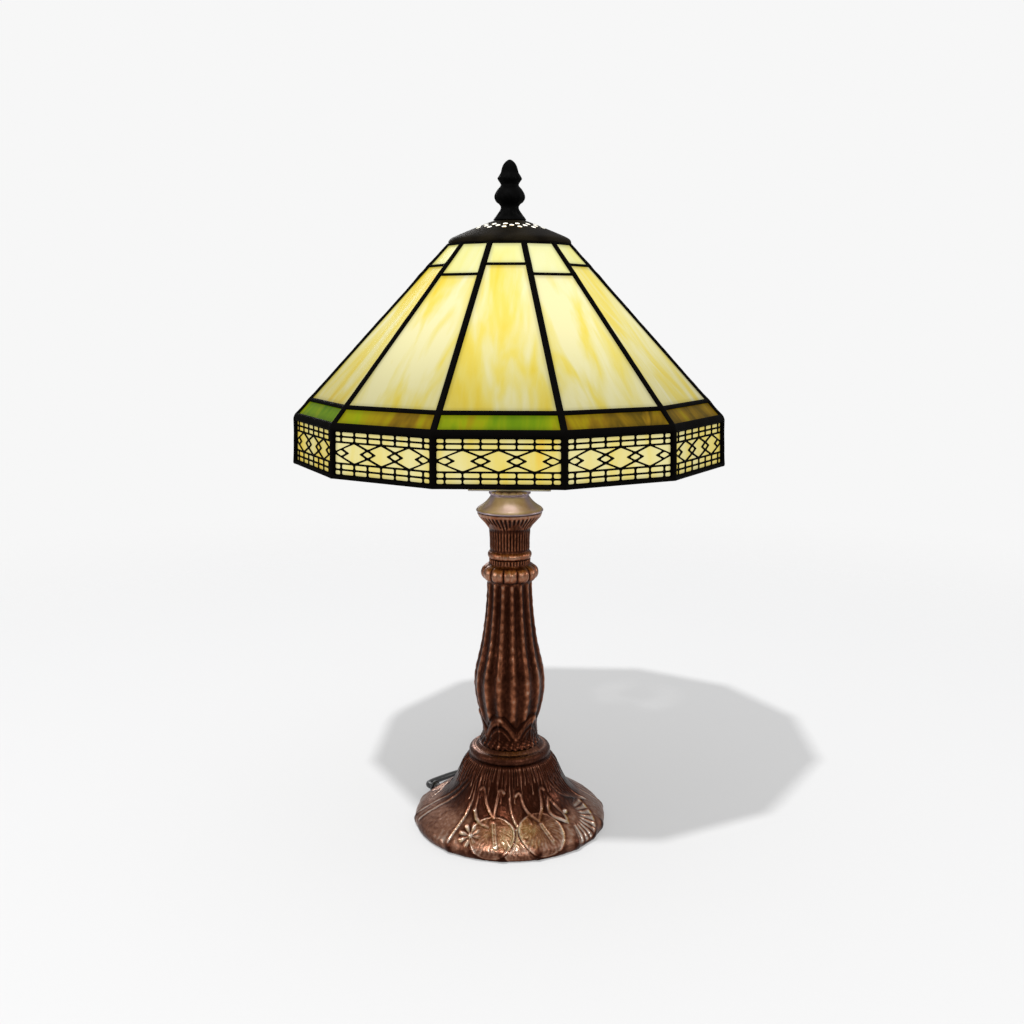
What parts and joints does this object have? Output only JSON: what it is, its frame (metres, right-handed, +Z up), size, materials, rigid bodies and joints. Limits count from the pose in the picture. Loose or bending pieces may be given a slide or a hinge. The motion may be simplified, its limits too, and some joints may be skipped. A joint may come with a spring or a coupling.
{
  "type": "stained glass table lamp",
  "caption": "Leaded glass lamp: faceted cone shade with a pierced band, vented cap and spire finial, on a cast baluster column and round foot, with harp, bulb, cord and plug.",
  "frame": {"origin": "centre of the foot's felt pad, on the table", "axes": "+Z up along the column; -Y is the front, square to one face of the shade; the cord's slack lies on the +Y side"},
  "size_m": [0.2944, 0.3312, 0.4742],
  "materials": {
    "lead": "black patinated lead and solder, semi-gloss",
    "cream_glass": "streaky cream and yellow opalescent glass, smooth",
    "amber_green_glass": "streaky green and amber cathedral glass",
    "frosted_glass": "frosted white, lit",
    "black_metal": "blackened dark bronze, satin",
    "bronze_patina": "antique bronze on cast zinc alloy, dark in the hollows and rubbed copper on the high spots",
    "worn_copper": "antique copper, satin",
    "brass": "lacquered, satin",
    "plated_steel": "zinc plated",
    "insulating_card": "dull fibre",
    "felt": "dark green wool felt",
    "black_cord": "satin vinyl",
    "black_plastic": "moulded, satin"
  },
  "bodies": {
    "lamp_body": {"foot_casting": "bronze_patina", "stem_casting": "bronze_patina", "stem_cap": "worn_copper", "stem_pipe": "plated_steel", "foot_nut": "plated_steel", "felt_pad": "felt", "harp_saddle": "plated_steel", "harp": "brass", "socket_shell": "brass", "socket_liner": "insulating_card", "power_cord": "black_cord", "cord_grommet": "black_cord", "switch_body": "black_plastic", "switch_cover": "black_plastic", "plug": "black_plastic"},
    "shade": {"lead_came": "lead", "crown_pane_01": "cream_glass", "crown_pane_02": "cream_glass", "crown_pane_03": "cream_glass", "crown_pane_04": "cream_glass", "crown_pane_05": "cream_glass", "crown_pane_06": "cream_glass", "crown_pane_07": "cream_glass", "crown_pane_08": "cream_glass", "crown_pane_09": "cream_glass", "crown_pane_10": "cream_glass", "crown_pane_11": "cream_glass", "crown_pane_12": "cream_glass", "body_pane_01": "cream_glass", "body_pane_02": "cream_glass", "body_pane_03": "cream_glass", "body_pane_04": "cream_glass", "body_pane_05": "cream_glass", "body_pane_06": "cream_glass", "body_pane_07": "cream_glass", "body_pane_08": "cream_glass", "body_pane_09": "cream_glass", "body_pane_10": "cream_glass", "body_pane_11": "cream_glass", "body_pane_12": "cream_glass", "skirt_pane_01": "amber_green_glass", "skirt_pane_02": "amber_green_glass", "skirt_pane_03": "amber_green_glass", "skirt_pane_04": "amber_green_glass", "skirt_pane_05": "amber_green_glass", "skirt_pane_06": "amber_green_glass", "skirt_pane_07": "amber_green_glass", "skirt_pane_08": "amber_green_glass", "skirt_pane_09": "amber_green_glass", "skirt_pane_10": "amber_green_glass", "skirt_pane_11": "amber_green_glass", "skirt_pane_12": "amber_green_glass", "band_glass": "cream_glass", "band_filigree": "lead", "vented_cap": "black_metal"},
    "finial_carriage": {"finial_washer": "brass"},
    "finial_screw": {"finial": "black_metal"},
    "bulb_carriage": {"bulb_glass": "frosted_glass"},
    "bulb_screw": {"bulb_base": "brass"},
    "rocker": {"switch_rocker": "black_plastic"}
  },
  "joints": [
    {"name": "shade_turn", "type": "hinge", "parent": "lamp_body", "child": "shade", "pos_m": [0, 0, 0.4285], "axis": [0, 0, 1], "continuous": true},
    {"name": "finial_lift", "type": "slide", "parent": "lamp_body", "child": "finial_carriage", "axis": [0, 0, 1], "range_m": [0, 0.0075]},
    {"name": "finial_turn", "type": "hinge", "parent": "finial_carriage", "child": "finial_screw", "pos_m": [0, 0, 0.4309], "axis": [0, 0, 1], "range_deg": [0, 2880]},
    {"name": "bulb_lift", "type": "slide", "parent": "lamp_body", "child": "bulb_carriage", "axis": [0, 0, 1], "range_m": [0, 0.0181]},
    {"name": "bulb_turn", "type": "hinge", "parent": "bulb_carriage", "child": "bulb_screw", "pos_m": [0, 0, 0.2724], "axis": [0, 0, 1], "range_deg": [0, 1800]},
    {"name": "rocker_tilt", "type": "hinge", "parent": "lamp_body", "child": "rocker", "pos_m": [-0.018, 0.146, 0.0112], "axis": [1, 0, 0], "range_deg": [-16, 0]}
  ],
  "couplings": [
    {"joint": "finial_turn", "follows": "finial_lift", "rad_per_m": 6679},
    {"joint": "bulb_turn", "follows": "bulb_lift", "rad_per_m": 1731.6}
  ]
}
